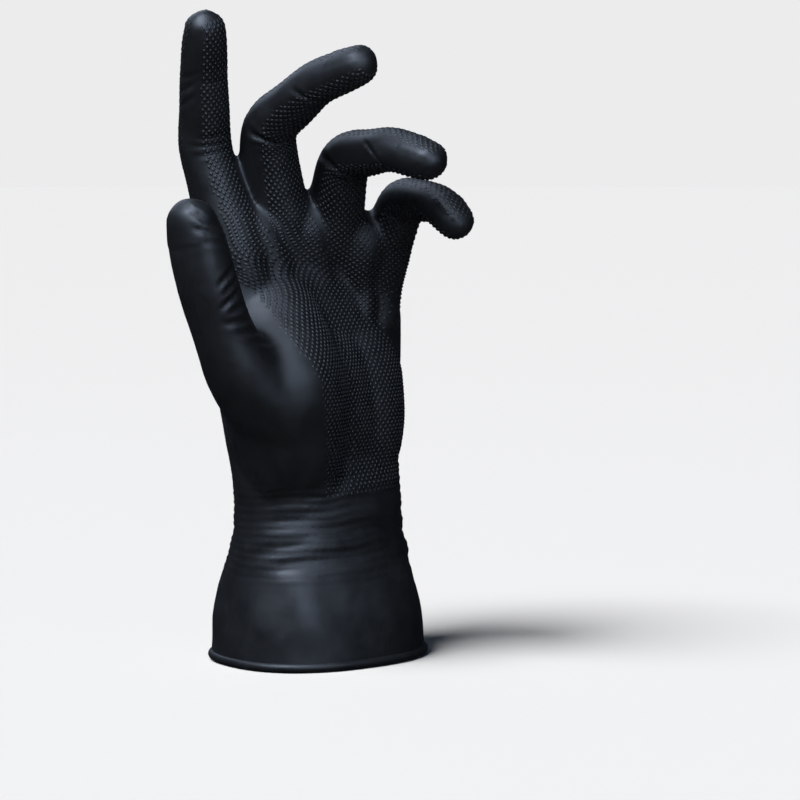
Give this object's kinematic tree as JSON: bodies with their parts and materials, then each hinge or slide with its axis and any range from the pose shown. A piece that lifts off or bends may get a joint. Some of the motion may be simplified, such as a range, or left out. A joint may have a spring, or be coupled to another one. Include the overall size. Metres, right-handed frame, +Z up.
{
  "type": "nitrile exam glove",
  "caption": "Left-hand dipped exam glove as worn by a raised hand, hollow, with a beaded cuff and raised diamond grip.",
  "frame": {"origin": "middle of the cuff's opening, at the lower edge of its bead", "axes": "+Z up the forearm to the fingertips, -Y towards the viewer, +X to the viewer's right; the palm looks towards -Y and +X"},
  "size_m": [0.1046, 0.0971, 0.2289],
  "materials": {
    "nitrile": "satin black nitrile film with a raised diamond grip on the palm and the back"
  },
  "bodies": {
    "root": {"glove": "nitrile"}
  },
  "joints": []
}
